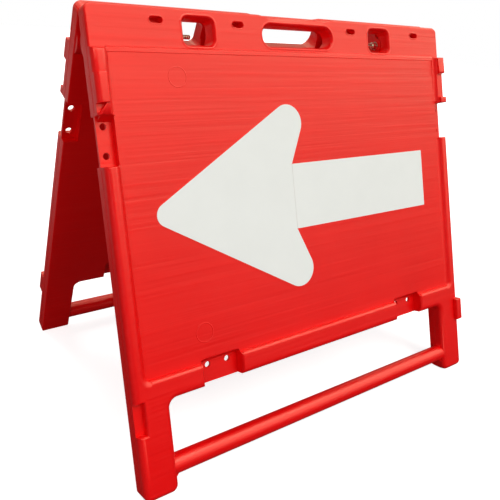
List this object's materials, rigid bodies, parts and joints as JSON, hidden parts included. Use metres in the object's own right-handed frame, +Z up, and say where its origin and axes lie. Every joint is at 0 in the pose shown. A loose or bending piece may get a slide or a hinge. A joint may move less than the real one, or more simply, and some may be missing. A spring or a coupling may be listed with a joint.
{
  "type": "arrow board",
  "caption": "Folding A-shaped roadside arrow board: red moulded plastic panels hinged at the top, with a white arrow, hand-hold, legs and cross-bars.",
  "frame": {"origin": "on the ground under the middle of the board, which is the bottom centre of its bounding box", "axes": "+Z up, +X along the width to the right as seen from the front, and the arrow face towards -Y"},
  "size_m": [0.6, 0.4298, 0.5377],
  "materials": {
    "red_plastic": "satin",
    "white_sheet": "satin",
    "zinc_steel": "zinc plated"
  },
  "bodies": {
    "front_frame": {"front_panel": "red_plastic", "arrow_head": "white_sheet", "arrow_shaft": "white_sheet", "left_hinge_bolt": "zinc_steel", "right_hinge_bolt": "zinc_steel", "left_lock_nut": "zinc_steel", "right_lock_nut": "zinc_steel", "left_head_washer": "zinc_steel", "right_head_washer": "zinc_steel", "left_nut_washer": "zinc_steel", "right_nut_washer": "zinc_steel"},
    "rear_frame": {"rear_panel": "red_plastic"}
  },
  "joints": [
    {"name": "fold", "type": "hinge", "parent": "front_frame", "child": "rear_frame", "pos_m": [0, 0, 0.50446], "axis": [-1, 0, 0], "range_deg": [0, 39.5]}
  ]
}
